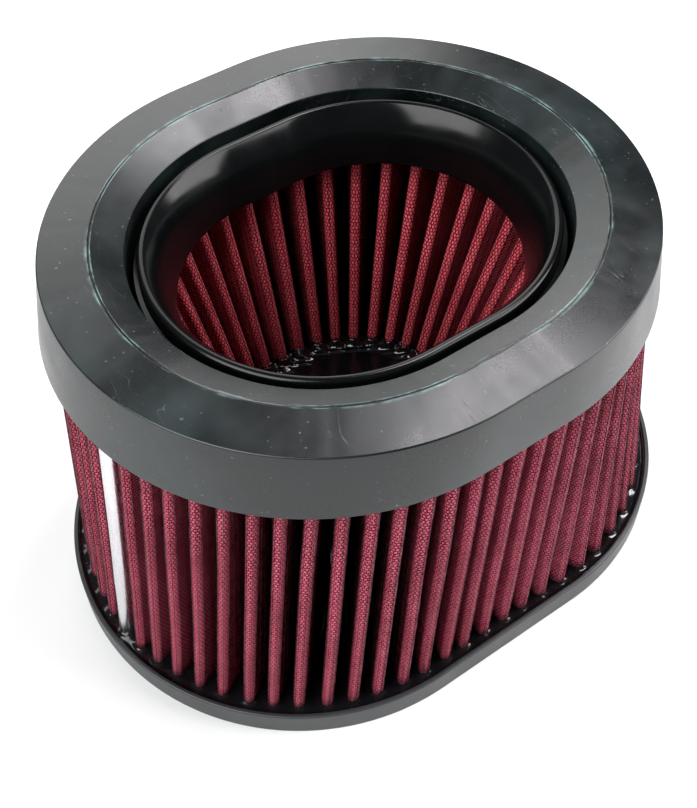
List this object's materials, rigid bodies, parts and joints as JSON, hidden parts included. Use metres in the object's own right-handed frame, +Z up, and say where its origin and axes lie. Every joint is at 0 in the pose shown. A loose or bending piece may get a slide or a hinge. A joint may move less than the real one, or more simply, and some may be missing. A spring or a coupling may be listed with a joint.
{
  "type": "oval pleated air filter",
  "caption": "Oval pleated gauze air filter with a soft sealing collar, a moulded throat and a closed potted base.",
  "frame": {"origin": "middle of the tray's flat underside", "axes": "+Z up through the throat, X along the long axis of the oval, Y across it; the collar is shifted towards -X"},
  "size_m": [0.1792, 0.1336, 0.1125],
  "materials": {
    "collar_rubber": "satin moulded polyurethane",
    "throat_moulding": "semi-gloss",
    "top_bond": "matte",
    "outer_wire": "fine woven wire, coated",
    "outer_cotton": "oiled cotton gauze",
    "inner_cotton": "oiled cotton gauze",
    "inner_wire": "fine woven wire, coated",
    "clip_metal": "bright rolled strip",
    "gloss_potting": "wet gloss",
    "tray_moulding": "satin"
  },
  "bodies": {
    "root": {"collar": "collar_rubber", "throat_ring": "throat_moulding", "top_potting": "top_bond", "outer_screen": "outer_wire", "outer_gauze": "outer_cotton", "inner_gauze": "inner_cotton", "inner_screen": "inner_wire", "seam_clip": "clip_metal", "bottom_potting": "gloss_potting", "base_tray": "tray_moulding"}
  },
  "joints": []
}
